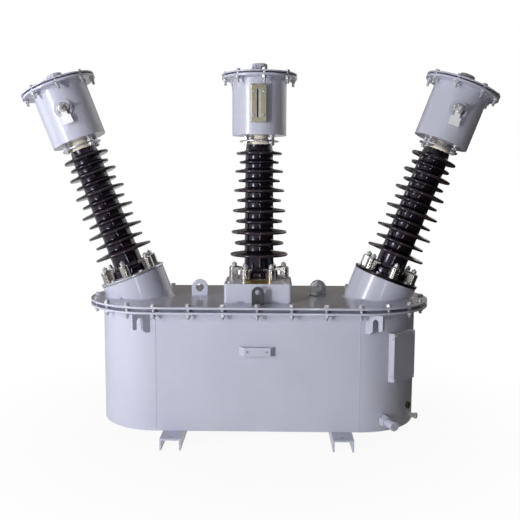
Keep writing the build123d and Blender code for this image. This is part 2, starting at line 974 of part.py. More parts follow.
def make_ct_stand(side):
    """Two upright plates with hollowed tops that carry the ring core from the tank floor."""
    x, core_z = ct_core_centre(side)
    half = ct_stand_width / 2
    top = core_z - math.sqrt(ct_core_outer_r**2 - half**2)
    plates = []
    for edge in (-1, 1):
        middle = x + edge * (ct_core_width - ct_stand_thick) / 2
        plate = block(middle - ct_stand_thick / 2, middle + ct_stand_thick / 2, -half, half, floor_top_z, top)
        plates.append(plate - Pos(x, 0, core_z) * Rot(0, 90, 0) * Cylinder(ct_core_outer_r, far))
    return plates


def make_lead(side):
    """Insulated lead through the bushing bore, down to the primary ring or into the middle turret."""
    if side == "centre":
        return bushing_frames[side] * post(lead_r, -centre_lead_tail, can_bottom + lead_inside_head)
    low = -side_plate_height - ct_ring_drop
    lead = bushing_frames[side] * post(lead_r, low, can_bottom + lead_inside_head)
    x, z = ct_centre(side)
    return lead - Pos(x, 0, z) * Rot(90, 0, 0) * Cylinder(ct_ring_outer_r, 2 * ct_ring_width)


def vt_bottom_z():
    return floor_top_z + vt_stand_height


def make_vt_core(side):
    """Laminated window core of a voltage transformer."""
    half = vt_core_width / 2
    low = vt_bottom_z()
    core = block(-half, half, -vt_limb / 2, vt_limb / 2, low, low + vt_core_height)
    window = block(vt_limb - half, half - vt_limb, -vt_limb, vt_limb, low + vt_limb, low + vt_core_height - vt_limb)
    return Pos(side * vt_x, 0, 0) * (core - window)


def vt_coils():
    """A square winding round each limb of both voltage transformer cores."""
    low = vt_bottom_z() + vt_limb
    height = vt_core_height - 2 * vt_limb
    inner = vt_limb + 2 * vt_coil_gap
    outer = vt_limb + 2 * vt_coil_build
    coil = Box(outer, outer, height, align=UP) - Box(inner, inner, height, align=UP)
    reach = (vt_core_width - vt_limb) / 2
    return [Pos(side * vt_x + limb * reach, 0, low) * coil for side in (-1, 1) for limb in (-1, 1)]


def vt_stands():
    """Two feet under each voltage transformer core."""
    stands = []
    reach = (vt_core_width - vt_stand_thick) / 2
    half = vt_stand_length / 2
    for side in (-1, 1):
        for foot in (-1, 1):
            x = side * vt_x + foot * reach
            low_x = x - vt_stand_thick / 2
            stands.append(block(low_x, low_x + vt_stand_thick, -half, half, floor_top_z, vt_bottom_z()))
    return stands


def save_tank():
    save("tank_body", make_tank_body())
    save("tank_rim", make_tank_rim())
    save("tank_gasket", make_tank_gasket())
    save("cover_plate", make_cover())
    save("cover_bolts", *cover_bolts())
    save("cover_nuts", *cover_nuts())
    save("sling_hooks", *hooks())
    save("left_foot_channel", make_foot(-1))
    save("right_foot_channel", make_foot(1))
    save("cover_lugs", *cover_lugs())
    save("front_lug", make_front_lug())
    save("plate_bracket", make_bracket())


def save_tank_fittings():
    save("terminal_box_body", make_box_body())
    save("terminal_box_cover", make_box_cover())
    save("terminal_box_screws", *box_screws())
    save("secondary_terminal_board", make_board())
    save("secondary_terminal_posts", *board_posts())
    save("drain_valve_body", make_drain_body())
    save("drain_valve_plug", make_drain_plug())
    save("sampling_plug", make_sample_plug())
    save("earth_stud", make_earth_stud())
    save("earth_nut", make_earth_nut())


def save_turrets():
    sides = ("left", "right")
    save("centre_turret", make_centre_turret())
    save("centre_turret_plate", make_centre_plate())
    save("side_turrets", *[make_side_turret(side) for side in sides])
    save("turret_gaskets", *[make_turret_gasket(side) for side in sides])
    save("side_turret_plates", *[make_side_plate(side) for side in sides])
    save("turret_bolts", *turret_bolts())


def save_bushings():
    save("porcelain_bushings", *per_bushing(make_porcelain))
    save("base_gaskets", *per_bushing(make_base_gasket))
    save("base_clamps", *clamps())
    save("clamp_nuts", *clamp_nuts())
    save("top_gaskets", *per_bushing(make_top_gasket))
    save("top_clamp_rings", *per_bushing(make_top_ring))
    save("ring_studs", *ring_studs())
    save("ring_nuts", *ring_nuts())
    save("head_necks", *per_bushing(make_head_neck))


def save_heads():
    save("head_cans", *[make_can(side) for side in bushing_frames])
    save("head_rims", *per_bushing(make_head_rim))
    save("head_lids", *per_bushing(make_lid))
    save("lid_gaskets", *per_bushing(make_lid_gasket))
    save("lid_bolts", *lid_bolts())
    save("lid_nuts", *lid_nuts())
    save("filler_caps", *per_bushing(make_cap))
    save("oil_gauge_frame", make_gauge_frame())
    save("oil_gauge_glass", make_gauge_glass())
    save("oil_gauge_screws", *gauge_screws())
    save("terminal_bushes", *at_terminals(make_bush))
    save("terminal_studs", *at_terminals(make_terminal_stud))
    save("terminal_nuts", *at_terminals(make_terminal_nut))
    save("terminal_tags", *tags())


def save_inside():
    save("lead_tubes", *[make_lead(side) for side in bushing_frames])
    save("ct_primary_rings", make_ct_ring("left"), make_ct_ring("right"))
    save("ct_ring_cores", make_ct_core("left"), make_ct_core("right"))
    save("vt_cores", make_vt_core(-1), make_vt_core(1))
    save("vt_coils", *vt_coils())
    save("core_stands", *vt_stands(), *make_ct_stand("left"), *make_ct_stand("right"))


save_tank()
save_tank_fittings()
save_turrets()
save_bushings()
save_heads()
save_inside()
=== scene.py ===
import json
import math

import bmesh
import bpy
from mathutils import Matrix, Vector

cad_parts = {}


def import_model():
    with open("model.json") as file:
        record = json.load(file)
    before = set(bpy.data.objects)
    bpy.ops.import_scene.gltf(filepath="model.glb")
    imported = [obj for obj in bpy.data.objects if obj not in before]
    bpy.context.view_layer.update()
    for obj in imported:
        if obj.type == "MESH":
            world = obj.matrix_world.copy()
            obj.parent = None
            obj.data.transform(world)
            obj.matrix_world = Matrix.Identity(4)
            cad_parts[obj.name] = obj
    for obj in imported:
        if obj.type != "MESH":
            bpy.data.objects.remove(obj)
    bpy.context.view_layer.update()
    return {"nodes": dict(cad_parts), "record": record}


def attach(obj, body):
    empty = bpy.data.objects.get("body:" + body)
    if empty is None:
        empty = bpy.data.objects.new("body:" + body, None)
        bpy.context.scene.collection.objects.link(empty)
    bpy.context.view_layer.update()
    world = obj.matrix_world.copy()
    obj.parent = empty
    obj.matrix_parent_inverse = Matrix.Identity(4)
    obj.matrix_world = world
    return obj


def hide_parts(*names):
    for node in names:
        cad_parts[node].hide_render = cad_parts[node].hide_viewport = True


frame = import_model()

# Sizes of the transformer as its construction has them, in metres and degrees
HALF_STRAIGHT = 0.375
TANK_R = 0.234
TANK_BOTTOM = 0.043
RIM_BOTTOM = 0.489
COVER_TOP = 0.516
BOLT_LINE_R = 0.2625
STRAIGHT_BAYS = 6
END_BAYS = 8
TURRET_X = 0.469
TURRET_R = 0.125
LEAN = math.radians(20.8)
SIDE_PLATE_HEIGHT = 0.091
CENTRE_RISE = 0.072
CENTRE_FRONT = -0.185
CENTRE_HALF_WIDTH = 0.126

# Heights up each bushing's axis from its turret plate, and sizes of what stands there
SHED_COUNT = 11
LOWEST_SHED = 0.093
LOWEST_PITCH = 0.0442
PITCH_STEP = 0.00114
BIG_TOP_R = 0.088
SMALL_TOP_R = 0.076
SHED_R_STEP = 0.0049
SHED_HALF_RIM = 0.0046
SHED_UNDERSIDE_FALL = 0.05
SHED_TOP_RISE = 0.16
CORE_LOW_R = 0.0575
CORE_HIGH_R = 0.053
BORE_R = 0.0162
BASE_GASKET = 0.002
FOOT_R = 0.074
FOOT_TOP = 0.025
FOOT_SEAT_R = 0.068
FOOT_SEAT = 0.031
SHOULDER_R = 0.063
SHOULDER_TOP = 0.046
NECK_R = 0.050
PORCELAIN_TOP = 0.518
RING_BOTTOM = 0.528
RING_TOP = 0.533
RING_STUDS = 4
RING_STUD_R = 0.068
STUD_WASHER = 0.0018
CAN_BOTTOM = 0.552
CAN_R = 0.104
CAN_TOP = 0.772
CAN_RIM = 0.008
LID_TOP = 0.783
LID_BOLT_R = 0.131
LID_BOLTS = 8
CAP_LOW = 0.795
CAP_TOP = 0.824
CAP_R = 0.0305
TERMINAL_HEIGHT = 0.671
PAD_FACE = 0.107
CLAMPS = 6
CLAMP_TOP = 0.046
CLAMP_STUD_R = 0.097
CLAMP_OUTER_R = 0.117
CLAMP_INNER_R = 0.064
CLAMP_SLOPE_R = 0.086
CLAMP_LEG = 0.034
CLAMP_WIDTH = 0.034
PLATE_BOLT_R = 0.113
FRONT_BOLT_X = 0.106
FRONT_BOLT_INSET = 0.024

# Fittings on the cover and on the tank's round end
LUG_X = 0.233
LUG_WIDTH = 0.063
LUG_THICK = 0.014
BOX_BEARING = -47.0
BOX_MIDDLE = 0.3205
BOX_HALF_WIDTH = 0.062
BOX_COVER_TOP = 0.252
EARTH_BEARING = -23.7
EARTH_HEIGHT = 0.067

# The oil gauge on the middle head
GAUGE_FACE = -0.118
GAUGE_MIDDLE = 0.6645

# The three bushings, and how far each is turned about its axis
SIDES = ("left", "centre", "right")
CLAMP_TURN = {"left": 30.0, "centre": 0.0, "right": -27.0}
LID_TURN = {"left": 13.0, "centre": 9.0, "right": 22.5}
TERMINAL_TURN = {"left": 6.0, "centre": 0.0, "right": -2.0}

MERGE = 1e-6
TURN = 2 * math.pi


def moved(x=0.0, y=0.0, z=0.0):
    return Matrix.Translation((x, y, z))


def turned_by(degrees, axis):
    return Matrix.Rotation(math.radians(degrees), 4, axis)


def turret_frame(side):
    """Where a turret stands on the cover, with its axis as +Z."""
    sign = SIDES.index(side) - 1
    return moved(sign * TURRET_X, 0, COVER_TOP) @ Matrix.Rotation(sign * LEAN, 4, "Y")


def bushing_frame(side):
    """The top of a turret plate, with the bushing's axis as +Z."""
    rise = CENTRE_RISE if side == "centre" else SIDE_PLATE_HEIGHT
    return turret_frame(side) @ moved(z=rise)


def out_of_tank(bearing, height):
    """On the round end's axis at some height: +Z points outwards, +X down."""
    return moved(HALF_STRAIGHT, 0, height) @ turned_by(bearing, "Z") @ turned_by(90, "Y")


def around(count, radius, first):
    """Places on a circle from a bearing on, each with its own +X pointing outwards."""
    return [turned_by(first + 360.0 * i / count, "Z") @ moved(radius) for i in range(count)]


def terminal_frame(side, facing):
    """At terminal height on a head's axis: +Z points out through the can wall."""
    swing = turned_by(TERMINAL_TURN[side], "Z")
    return bushing_frame(side) @ moved(z=TERMINAL_HEIGHT) @ swing @ turned_by(-90 * facing, "X")


# Shader maths: a Field is a value on its way through the nodes of one tree

class Field:
    def __init__(self, tree, socket):
        self.tree = tree
        self.socket = socket

    def math(self, operation, *others):
        return self.tree.add("Math", {"operation": operation}, self, *others)

    def __add__(self, other):
        return self.math("ADD", other)

    def __rsub__(self, other):
        return self.tree.add("Math", {"operation": "SUBTRACT"}, other, self)

    def __mul__(self, other):
        return self.math("MULTIPLY", other)

    __radd__ = __add__
    __rmul__ = __mul__

    def highest(self, other):
        return self.math("MAXIMUM", other)

    def between(self, low, high, first=0.0, last=1.0):
        """From first to last, smoothly, while the value goes from low to high."""
        settings = {"interpolation_type": "SMOOTHSTEP"}
        return self.tree.add("MapRange", settings, Value=self, From_Min=low, From_Max=high,
                             To_Min=first, To_Max=last)

    def parts(self):
        """The X, Y and Z of a place or a direction."""
        outputs = self.tree.add("SeparateXYZ", None, self).socket.node.outputs
        return [Field(self.tree, output) for output in outputs]


class Tree:
    """The nodes that feed the one shader of a material or the world, and short ways to add them."""

    def __init__(self, owner, shader, **constants):
        owner.use_nodes = True
        self.nodes = owner.node_tree.nodes
        self.links = owner.node_tree.links
        self.shader = self.nodes[shader]
        for socket, value in constants.items():
            self.shader.inputs[socket.replace("_", " ")].default_value = value

    def add(self, kind, settings=None, *inputs, output=None, **named):
        """Any node: its settings first, then its sockets by order or by name. Gives an output."""
        node = self.nodes.new("ShaderNode" + kind)
        for key, value in (settings or {}).items():
            setattr(node, key, value)
        for key, value in list(enumerate(inputs)) + list(named.items()):
            if isinstance(key, str):
                name = key.replace("_", " ")
                socket = next(s for s in node.inputs if s.name == name and s.enabled)
            else:
                socket = node.inputs[key]
            if isinstance(value, Field):
                self.links.new(value.socket, socket)
            else:
                socket.default_value = value
        return Field(self, next(s for s in node.outputs if s.enabled and output in (None, s.name)))

    def place(self):
        """Object coordinates, which are metres of the transformer."""
        return self.add("TexCoord", output="Object")

    def blend(self, share, first, second):
        """A colour between two others."""
        return self.add("Mix", {"data_type": "RGBA"}, Factor=share, A=first, B=second)

    def feed(self, **sockets):
        for name, value in sockets.items():
            self.links.new(value.socket, self.shader.inputs[name.replace("_", " ")])


class Finish(Tree):
    """A material with one Principled shader, and the patterns that feed it."""

    made = {}

    def __init__(self, name, **constants):
        self.material = bpy.data.materials.new(name)
        super().__init__(self.material, "Principled BSDF", **constants)
        Finish.made[name] = self.material

    def noise(self, scale, detail, roughness=0.5, distortion=0.0):
        """Soft random values from 0 to 1; scale is how many waves there are in a metre."""
        return self.add("TexNoise", Vector=self.place(), Scale=scale, Detail=detail,
                        Roughness=roughness, Distortion=distortion)

    def attribute(self, name):
        """The number that a mesh's corners are tagged with, or 0."""
        return self.add("Attribute", {"attribute_name": name}, output="Fac")

    def bumps(self, height, depth):
        """A normal from heights of 0 to 1 that stand for a depth in metres."""
        return self.add("Bump", Height=height, Distance=depth)


def tone(red, green, blue):
    """A written colour of 0 to 255 as the shader's linear one."""
    values = []
    for part in (red, green, blue):
        share = part / 255
        values.append(share / 12.92 if share <= 0.04045 else ((share + 0.055) / 1.055) ** 2.4)
    return (*values, 1.0)


# Finishes

PAINTED = tone(188, 191, 207)
# Near black for painted shade and a painted dark reflection on tagged pieces
PAINTED_SHADE_BLACK = tone(26, 24, 29)


def grey_enamel():
    """Sprayed light grey enamel with a slight orange peel: uneven on welds. Tagged lugs are dark:
    the front lug all over, and the east cover lug as painted shade.
    """
    paint = Finish("grey_enamel", IOR=1.5, Coat_Weight=0.55, Coat_Roughness=0.04)
    drift = paint.noise(3.2, 3.0, 0.6)
    peel = paint.noise(330.0, 2.0, 0.55)
    mist = paint.noise(2400.0, 1.0)
    weld = paint.attribute("weld")
    lumps = paint.noise(420.0, 2.0, 0.6, 0.8)
    body = paint.blend(drift.between(0.3, 0.7), tone(184, 187, 205), tone(190, 193, 210))
    speckled = paint.blend(mist.between(0.62, 0.8) * 0.3, body, tone(173, 177, 192))
    # Painted shade darkens the east cover lug; the front lug is made dark all over.
    painted = paint.blend(paint.attribute("undercoat"), speckled, tone(50, 52, 60))
    paint.feed(Base_Color=painted, Roughness=0.26 + 0.07 * drift + 0.05 * mist + 0.1 * weld,
               Normal=paint.bumps(peel + 0.25 * mist + 6.0 * weld * lumps, 0.00014))


def brown_glaze():
    """Nearly black brown glaze that runs thin and lighter over the rims of the sheds."""
    glaze = Finish("brown_glaze", IOR=1.54, Coat_Weight=0.3, Coat_Roughness=0.02,
                   Specular_IOR_Level=0.42, Specular_Tint=(0.8, 0.72, 1.0, 1.0))
    rim = glaze.attribute("rim")
    cloud = glaze.noise(22.0, 4.0, 0.6)
    ripple = glaze.noise(95.0, 1.0)
    dark = glaze.blend(cloud.between(0.35, 0.7), tone(16, 11, 21), tone(25, 17, 28))
    edge = glaze.blend(cloud.between(0.3, 0.75), tone(56, 45, 46), tone(40, 31, 35))
    glaze.feed(Base_Color=glaze.blend(rim * (0.6 + 0.4 * cloud), dark, edge),
               Roughness=0.08 + 0.06 * cloud, Normal=glaze.bumps(ripple, 0.0004))


def yellow_zinc():
    """Passivated zinc: pale gold with faint green and pink clouds, nearly black on pieces tagged
    so.
    The turret's plate is mustard in the middle, and white towards its ends as a painted reflection
    of the bright background."""
    zinc = Finish("yellow_zinc")
    plate = zinc.attribute("turret_plate")
    across = zinc.place().parts()[0]
    # Painted reflection: the middle turret plate turns white and less metallic towards its ends.
    painted_reflection = plate * across.math("ABSOLUTE").between(0.04, 0.06)
    wide = zinc.noise(16.0, 3.0, 0.6, 1.2)
    other = zinc.noise(27.0, 2.0, 0.5, 2.0)
    fine = zinc.noise(800.0, 2.0)
    gold = zinc.blend(wide.between(0.35, 0.65), tone(208, 204, 186), tone(188, 183, 162))
    green = zinc.blend(other.between(0.5, 0.68) * 0.5, gold, tone(190, 193, 160))
    pink = zinc.blend((1.0 - other).between(0.52, 0.7) * 0.6, green, tone(212, 196, 190))
    mustard = zinc.blend(plate * 0.85, pink, tone(214, 182, 62))
    with_painted_reflection = zinc.blend(painted_reflection, mustard, tone(242, 243, 248))
    # Tagged pieces are made nearly black all over.
    zinc.feed(Base_Color=zinc.blend(zinc.attribute("soiled"), with_painted_reflection, tone(38, 36, 24)),
              Metallic=0.75 * (1.0 - 0.9 * painted_reflection), Roughness=0.24 + 0.14 * wide + 0.05 * fine,
              Normal=zinc.bumps(fine, 0.00004))


def metal_finish(name, low, high, rough, grain=700.0, depth=0.00005, metallic=0.85):
    """A metal whose colour and gloss wander a little; some pieces are painted, and some are painted
    black as shade and a dark reflection.
    """
    metal = Finish(name)
    cloud = metal.noise(40.0, 3.0, 0.6, 0.4)
    fine = metal.noise(grain, 2.0)
    painted = metal.attribute("painted")
    bare = metal.blend(cloud.between(0.3, 0.7), low, high)
    # Tagged pieces are painted black here as shade and a dark reflection.
    bare = metal.blend(metal.attribute("blackened"), bare, PAINTED_SHADE_BLACK)
    metal.feed(Base_Color=metal.blend(painted, bare, PAINTED), Metallic=metallic * (1.0 - painted),
               Roughness=rough + 0.16 * cloud + 0.08 * fine, Normal=metal.bumps(fine, depth))


def plain_finish(name, low, high, rough, **constants):
    """A matt or glossy non-metal with a slow change of colour and a fine surface; tagged pieces are
    painted black as shade.
    """
    stuff = Finish(name, **constants)
    cloud = stuff.noise(30.0, 4.0, 0.6)
    fine = stuff.noise(900.0, 3.0)
    plain = stuff.blend(cloud.between(0.3, 0.7), low, high)
    stuff.feed(Base_Color=stuff.blend(stuff.attribute("blackened"), plain, PAINTED_SHADE_BLACK),
               Roughness=rough + 0.1 * cloud + 0.05 * fine, Normal=stuff.bumps(fine, 0.0001))


def gauge_glass():
    """A sight glass with a painted shadow of its channel's left wall, dark to the left of its
    middle.
    """
    glass = Finish("gauge_glass", Coat_Weight=1.0, Roughness=0.08)
    across = glass.place().parts()[0]
    cloud = glass.noise(30.0, 4.0, 0.6)
    clear = glass.blend(cloud.between(0.3, 0.7), tone(186, 189, 186), tone(168, 171, 168))
    # Painted shadow of the channel's left wall on the glass
    glass.feed(Base_Color=glass.blend(across.between(-0.0028, -0.0004), tone(34, 34, 40), clear))


def make_finishes():
    grey_enamel()
    brown_glaze()
    yellow_zinc()
    gauge_glass()
    metal_finish("bright_zinc", tone(222, 223, 228), tone(200, 202, 209), 0.18, metallic=0.7)
    metal_finish("cast_alloy", tone(208, 205, 203), tone(180, 176, 174), 0.15, 420.0, 0.0001, 1.0)
    metal_finish("light_steel", tone(208, 209, 218), tone(192, 193, 203), 0.2, metallic=0.8)
    metal_finish("brass", tone(212, 180, 98), tone(190, 152, 74), 0.22)
    metal_finish("core_steel", tone(92, 94, 100), tone(70, 72, 78), 0.35)
    plain_finish("black_rubber", tone(122, 126, 142), tone(134, 138, 152), 0.55)
    plain_finish("cream_fitting", tone(244, 234, 220), tone(232, 220, 206), 0.3, Coat_Weight=0.2)
    plain_finish("white_plate", tone(240, 240, 243), tone(230, 231, 236), 0.3)
    plain_finish("moulded_black", tone(34, 33, 34), tone(48, 46, 46), 0.4)
    plain_finish("oiled_paper", tone(172, 132, 84), tone(150, 110, 66), 0.55)


# Modelling: helpers that add a start, pick its parts and close the finished piece

def only(*objects):
    """Select these objects and nothing else; the first is the active one."""
    if bpy.context.object and bpy.context.object.mode != "OBJECT":
        bpy.ops.object.mode_set(mode="OBJECT")
    bpy.ops.object.select_all(action="DESELECT")
    for item in objects:
        item.select_set(True)
    bpy.context.view_layer.objects.active = objects[0]


def opened(name):
    """Name the primitive just added and open it with nothing selected."""
    piece = bpy.context.object
    piece.name = name
    piece.data.name = name
    only(piece)
    bpy.ops.object.transform_apply(location=True, rotation=True, scale=True)
    bpy.ops.object.mode_set(mode="EDIT")
    bpy.ops.mesh.select_mode(type="VERT")
    bpy.ops.mesh.select_all(action="DESELECT")
    return piece


def pick(kind, rule):
    """In edit mode, select only the VERT, EDGE or FACE items that a rule accepts."""
    bpy.ops.mesh.select_mode(type=kind)
    bpy.ops.mesh.select_all(action="DESELECT")
    mesh = bmesh.from_edit_mesh(bpy.context.object.data)
    items = {"VERT": mesh.verts, "EDGE": mesh.edges, "FACE": mesh.faces}[kind]
    for item in items:
        if rule(item):
            item.select_set(True)
    mesh.select_flush_mode()
    bmesh.update_edit_mesh(bpy.context.object.data)


def looks_up(face):
    """A rule for level faces on top."""
    return face.normal.z > 0.98


def modified(piece, kind, **settings):
    """Add a modifier and apply it."""
    only(piece)
    modifier = piece.modifiers.new(kind, kind)
    for key, value in settings.items():
        setattr(modifier, key, value)
    bpy.ops.object.modifier_apply(modifier=modifier.name)


def smooth(piece, limit=35.0):
    """Shade smoothly over all edges that are blunter than a limit in degrees."""
    only(piece)
    bpy.ops.object.shade_smooth_by_angle(angle=math.radians(limit))
    return piece


def softened(piece, width, segments=2, limit=35.0):
    """Break the sharp edges, and keep the flats flat in the shading."""
    modified(piece, "BEVEL", width=width, segments=segments, limit_method="ANGLE",
             angle_limit=math.radians(limit), use_clamp_overlap=True)
    smooth(piece, limit)
    modified(piece, "WEIGHTED_NORMAL", keep_sharp=True, weight=80)
    return piece


def joined(name, *parts):
    """Several modelled parts as one object."""
    only(*parts)
    bpy.ops.object.join()
    parts[0].name = name
    parts[0].data.name = name
    return parts[0]


def placed(piece, place):
    """Move the mesh itself, so that the object stays at the origin."""
    piece.data.transform(place)
    return piece


def copies(name, model, places):
    """A copy of a modelled piece at each place, with its own mesh, all joined into one object."""
    made = []
    for place in places:
        copy = model.copy()
        copy.data = model.data.copy()
        bpy.context.scene.collection.objects.link(copy)
        made.append(placed(copy, place))
    bpy.data.objects.remove(model)
    return joined(name, *made)


def belongs(piece, finish, *replaced):
    """Give a finished piece its material and slot, and set it on the transformer."""
    only(piece)
    piece.data.materials.clear()
    piece.data.materials.append(Finish.made[finish])
    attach(piece, "root")
    if replaced:
        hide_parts(*replaced)
    return piece


def eased(corners, steps=3):
    """Outline corners (r, z, ease) as points, each corner with an ease becoming a short curve."""
    line = []
    for i, (r, z, ease) in enumerate(corners):
        here = Vector((r, z))
        if not ease:
            line.append(here)
            continue
        before = Vector(corners[i - 1][:2])
        after = Vector(corners[(i + 1) % len(corners)][:2])
        enter = here + (before - here).normalized() * ease
        leave = here + (after - here).normalized() * ease
        for k in range(steps + 1):
            share = k / steps
            line.append(enter.lerp(here, share).lerp(here.lerp(leave, share), share))
    return line


def drawn(name, points):
    """A chain of edges drawn point by point, left open with all of it selected."""
    bpy.ops.mesh.primitive_plane_add(size=0.01)
    piece = opened(name)
    bpy.ops.mesh.select_all(action="SELECT")
    bpy.ops.mesh.merge(type="CENTER")
    bpy.ops.transform.translate(value=points[0])
    for here, there in zip(points, points[1:]):
        bpy.ops.mesh.extrude_vertices_move(TRANSFORM_OT_translate={"value": there - here})
    bpy.ops.mesh.select_all(action="SELECT")
    return piece


def turned(name, outline, steps):
    """A turned piece: its half section drawn from one corner, then spun a full turn."""
    piece = drawn(name, [Vector((r, 0, z)) for r, z in outline])
    bpy.ops.mesh.spin(steps=steps, angle=TURN, center=(0, 0, 0), axis=(0, 0, 1))
    bpy.ops.mesh.select_all(action="SELECT")
    bpy.ops.mesh.remove_doubles(threshold=MERGE)
    bpy.ops.mesh.normals_make_consistent(inside=False)
    only(piece)
    return piece


def profiled(name, corners, width):
    """A side outline in radius and height, filled and extruded across, left open in edit mode."""
    piece = drawn(name, [Vector((r, -width / 2, z)) for r, z in corners])
    bpy.ops.mesh.edge_face_add()
    bpy.ops.mesh.extrude_region_move(TRANSFORM_OT_translate={"value": (0, width, 0)})
    bpy.ops.mesh.select_all(action="SELECT")
    bpy.ops.mesh.normals_make_consistent(inside=False)
    return piece


def upright_at(x):
    """A rule for vertical edges at a distance out."""
    def rule(edge):
        a, b = (v.co for v in edge.verts)
        return abs(a.x - x) < MERGE and abs(b.x - x) < MERGE and abs(a.z - b.z) > MERGE
    return rule


def level_at(z, beyond):
    """A rule for edges in a level plane that lie past a distance out."""
    def rule(edge):
        a, b = (v.co for v in edge.verts)
        return abs(a.z - z) < MERGE and abs(b.z - z) < MERGE and max(a.x, b.x) > beyond
    return rule


def spun_ring(name, corners, steps, ease_steps=3):
    """A ring turned from a closed section."""
    outline = eased(corners, ease_steps)
    return smooth(turned(name, outline + outline[:1], steps), 60.0)


def disc(name, radius, low, high, ease, steps=32):
    """A solid round of one diameter with eased edges."""
    outline = eased([(0, low, 0), (radius, low, ease), (radius, high, ease), (0, high, 0)], 2)
    return smooth(turned(name, outline, steps))


def dome(name, radius, low, high):
    """A solid round with a straight foot and a domed top."""
    rings = 6
    domed_share = 0.7
    rise = (high - low) * domed_share
    outline = [Vector((0, low)), Vector((radius, low))]
    for k in range(rings + 1):
        angle = math.pi / 2 * k / rings
        outline.append(Vector((radius * math.cos(angle), high - rise + rise * math.sin(angle))))
    return smooth(turned(name, outline, 24), 50.0)


def hexagon(name, flats, low, high):
    """A hexagonal head or nut with a crowned top."""
    crown = 0.0012
    bpy.ops.mesh.primitive_cylinder_add(vertices=6, radius=flats / math.sqrt(3), depth=high - low,
                                        location=(0, 0, (low + high) / 2))
    piece = opened(name)
    pick("FACE", looks_up)
    bpy.ops.mesh.inset(thickness=crown)
    bpy.ops.transform.translate(value=(0, 0, crown * 0.5))
    return softened(piece, 0.0003, 1, 20.0)


def thread(name, radius, low, high, pitch=0.00175, steps=20):
    """A threaded end with a rounded tip."""
    depth = pitch * 0.45
    tip = radius * 0.2
    outline = [Vector((0, low))]
    count = max(1, int((high - low) / pitch))
    for i in range(count):
        z = low + (high - low - tip) * i / count
        outline.append(Vector((radius, z)))
        outline.append(Vector((radius - depth, z + pitch / 2)))
    outline.append(Vector((radius * 0.85, high - radius * 0.12)))
    outline.append(Vector((radius * 0.5, high)))
    outline.append(Vector((0, high)))
    return smooth(turned(name, outline, steps), 80.0)


def flipped(piece, height):
    """Turn a piece that was modelled upwards to point down from a height."""
    return placed(piece, moved(z=height) @ turned_by(180, "X"))


def washer(radius, low, high):
    return disc("washer", radius, low, high, 0.0003)


def through_bolt(flats, head_low, head, nut_high, nut, tail):
    """Head above, shank through the joint, nut below with the thread's end showing."""
    shank_r = flats * 0.34
    washer_r = flats * 0.68
    ply = 0.0016
    parts = [hexagon("head", flats, head_low + ply, head_low + head)]
    parts.append(washer(washer_r, head_low, head_low + ply))
    parts.append(washer(washer_r, nut_high - ply, nut_high))
    parts.append(disc("shank", shank_r, nut_high, head_low, 0.0, 20))
    parts.append(flipped(hexagon("nut", flats, 0, nut - ply), nut_high - ply))
    parts.append(flipped(thread("end", shank_r, 0, tail), nut_high - nut))
    return joined("bolt", *parts)


def dressed(node, finish, width):
    """A copy of a construction node with merged corners and softly broken edges."""
    source = frame["nodes"][node]
    piece = source.copy()
    piece.data = source.data.copy()
    for key in list(piece.keys()):
        del piece[key]
    piece.parent = None
    piece.matrix_world = Matrix.Identity(4)
    piece.name = node + "_finished"
    piece.data.name = piece.name
    bpy.context.scene.collection.objects.link(piece)
    only(piece)
    bpy.ops.object.mode_set(mode="EDIT")
    bpy.ops.mesh.select_all(action="SELECT")
    bpy.ops.mesh.remove_doubles(threshold=MERGE)
    bpy.ops.mesh.dissolve_limited(angle_limit=math.radians(1.0))
    softened(piece, width)
    return belongs(piece, finish, node)


def tagged(piece, name, amount):
    """Give each corner of a mesh a number for its finish, worked out from the corner's place."""
    tag = piece.data.attributes.new(name, "FLOAT", "POINT")
    for vertex, item in zip(piece.data.vertices, tag.data):
        item.value = amount(vertex.co)
    return piece


def marked(piece, name, value=1.0, beyond=-math.inf):
    """Tag a whole mesh, or only what lies east of a line, with one number."""
    return tagged(piece, name, lambda place: value if place.x > beyond else 0.0)


# Porcelain

def core_r(height):
    """Radius of the core between the sheds, which tapers upwards."""
    share = (height - FOOT_TOP) / (PORCELAIN_TOP - FOOT_TOP)
    return CORE_LOW_R + (CORE_HIGH_R - CORE_LOW_R) * share


def shed_corners():
    """Corners of the sheds from the lowest up, each a hollow slope out to a thick round rim."""
    under_ease = 0.003
    over_ease = 0.006
    corners = []
    height = LOWEST_SHED
    pitch = LOWEST_PITCH
    for i in range(SHED_COUNT):
        pair = (SHED_COUNT - 1 - i) // 2
        tip = (BIG_TOP_R if i % 2 == 0 else SMALL_TOP_R) + pair * SHED_R_STEP
        reach = tip - core_r(height)
        under = height - SHED_HALF_RIM - reach * SHED_UNDERSIDE_FALL
        over = height + SHED_HALF_RIM + reach * SHED_TOP_RISE
        corners.append((core_r(under), under, under_ease))
        corners.append((tip, height - SHED_HALF_RIM, SHED_HALF_RIM))
        corners.append((tip, height + SHED_HALF_RIM, SHED_HALF_RIM))
        corners.append((core_r(over), over, over_ease))
        height += pitch
        pitch -= PITCH_STEP
    return corners


def rim_share(place):
    """How far the glaze has thinned out: 0 on the core, 1 on the rims."""
    dark_reach = 0.012
    fade = 0.03
    reach = math.hypot(place.x, place.y) - core_r(place.z)
    return min(1.0, max(0.0, (reach - dark_reach) / fade)) ** 2


